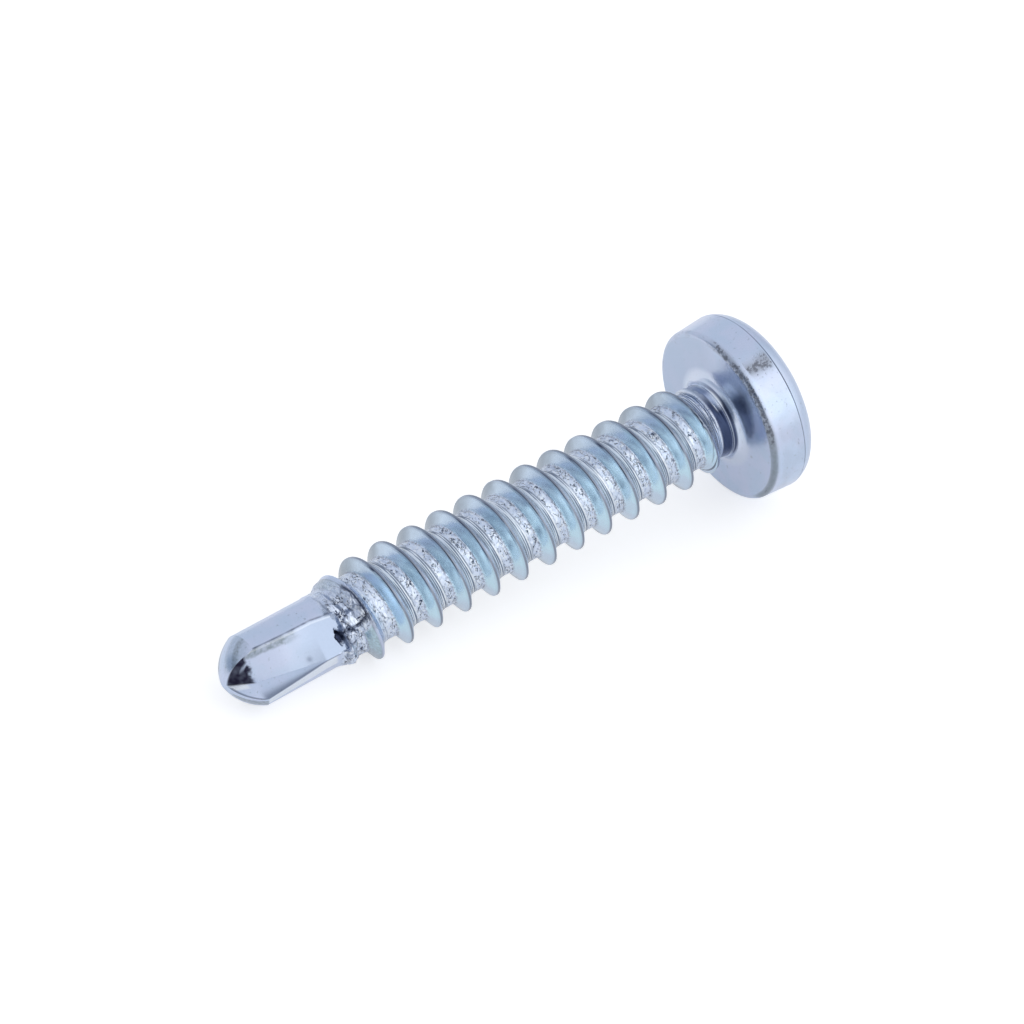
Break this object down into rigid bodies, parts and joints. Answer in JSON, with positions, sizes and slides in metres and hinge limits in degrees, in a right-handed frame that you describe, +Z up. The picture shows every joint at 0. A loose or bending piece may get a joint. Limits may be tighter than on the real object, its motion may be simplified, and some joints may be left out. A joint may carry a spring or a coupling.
{
  "type": "self-drilling screw",
  "caption": "Self-drilling sheet-metal screw lying at rest: pan head with a cross recess, coarse rolled thread and a forged two-flute drill point, zinc plated steel.",
  "frame": {"origin": "on the flat surface that the screw lies on, under the middle of the lying screw", "axes": "+X runs along the surface from the drill tip towards the head, +Z is up; the screw's own axis rises towards the head at 5.66 degrees in the XZ plane"},
  "size_m": [0.0272, 0.008, 0.008],
  "materials": {
    "zinc_plated_steel": "bright zinc plating with a pale blue passivation, over tumbled and thread-rolled steel"
  },
  "bodies": {
    "root": {"drilling_screw": "zinc_plated_steel"}
  },
  "joints": []
}
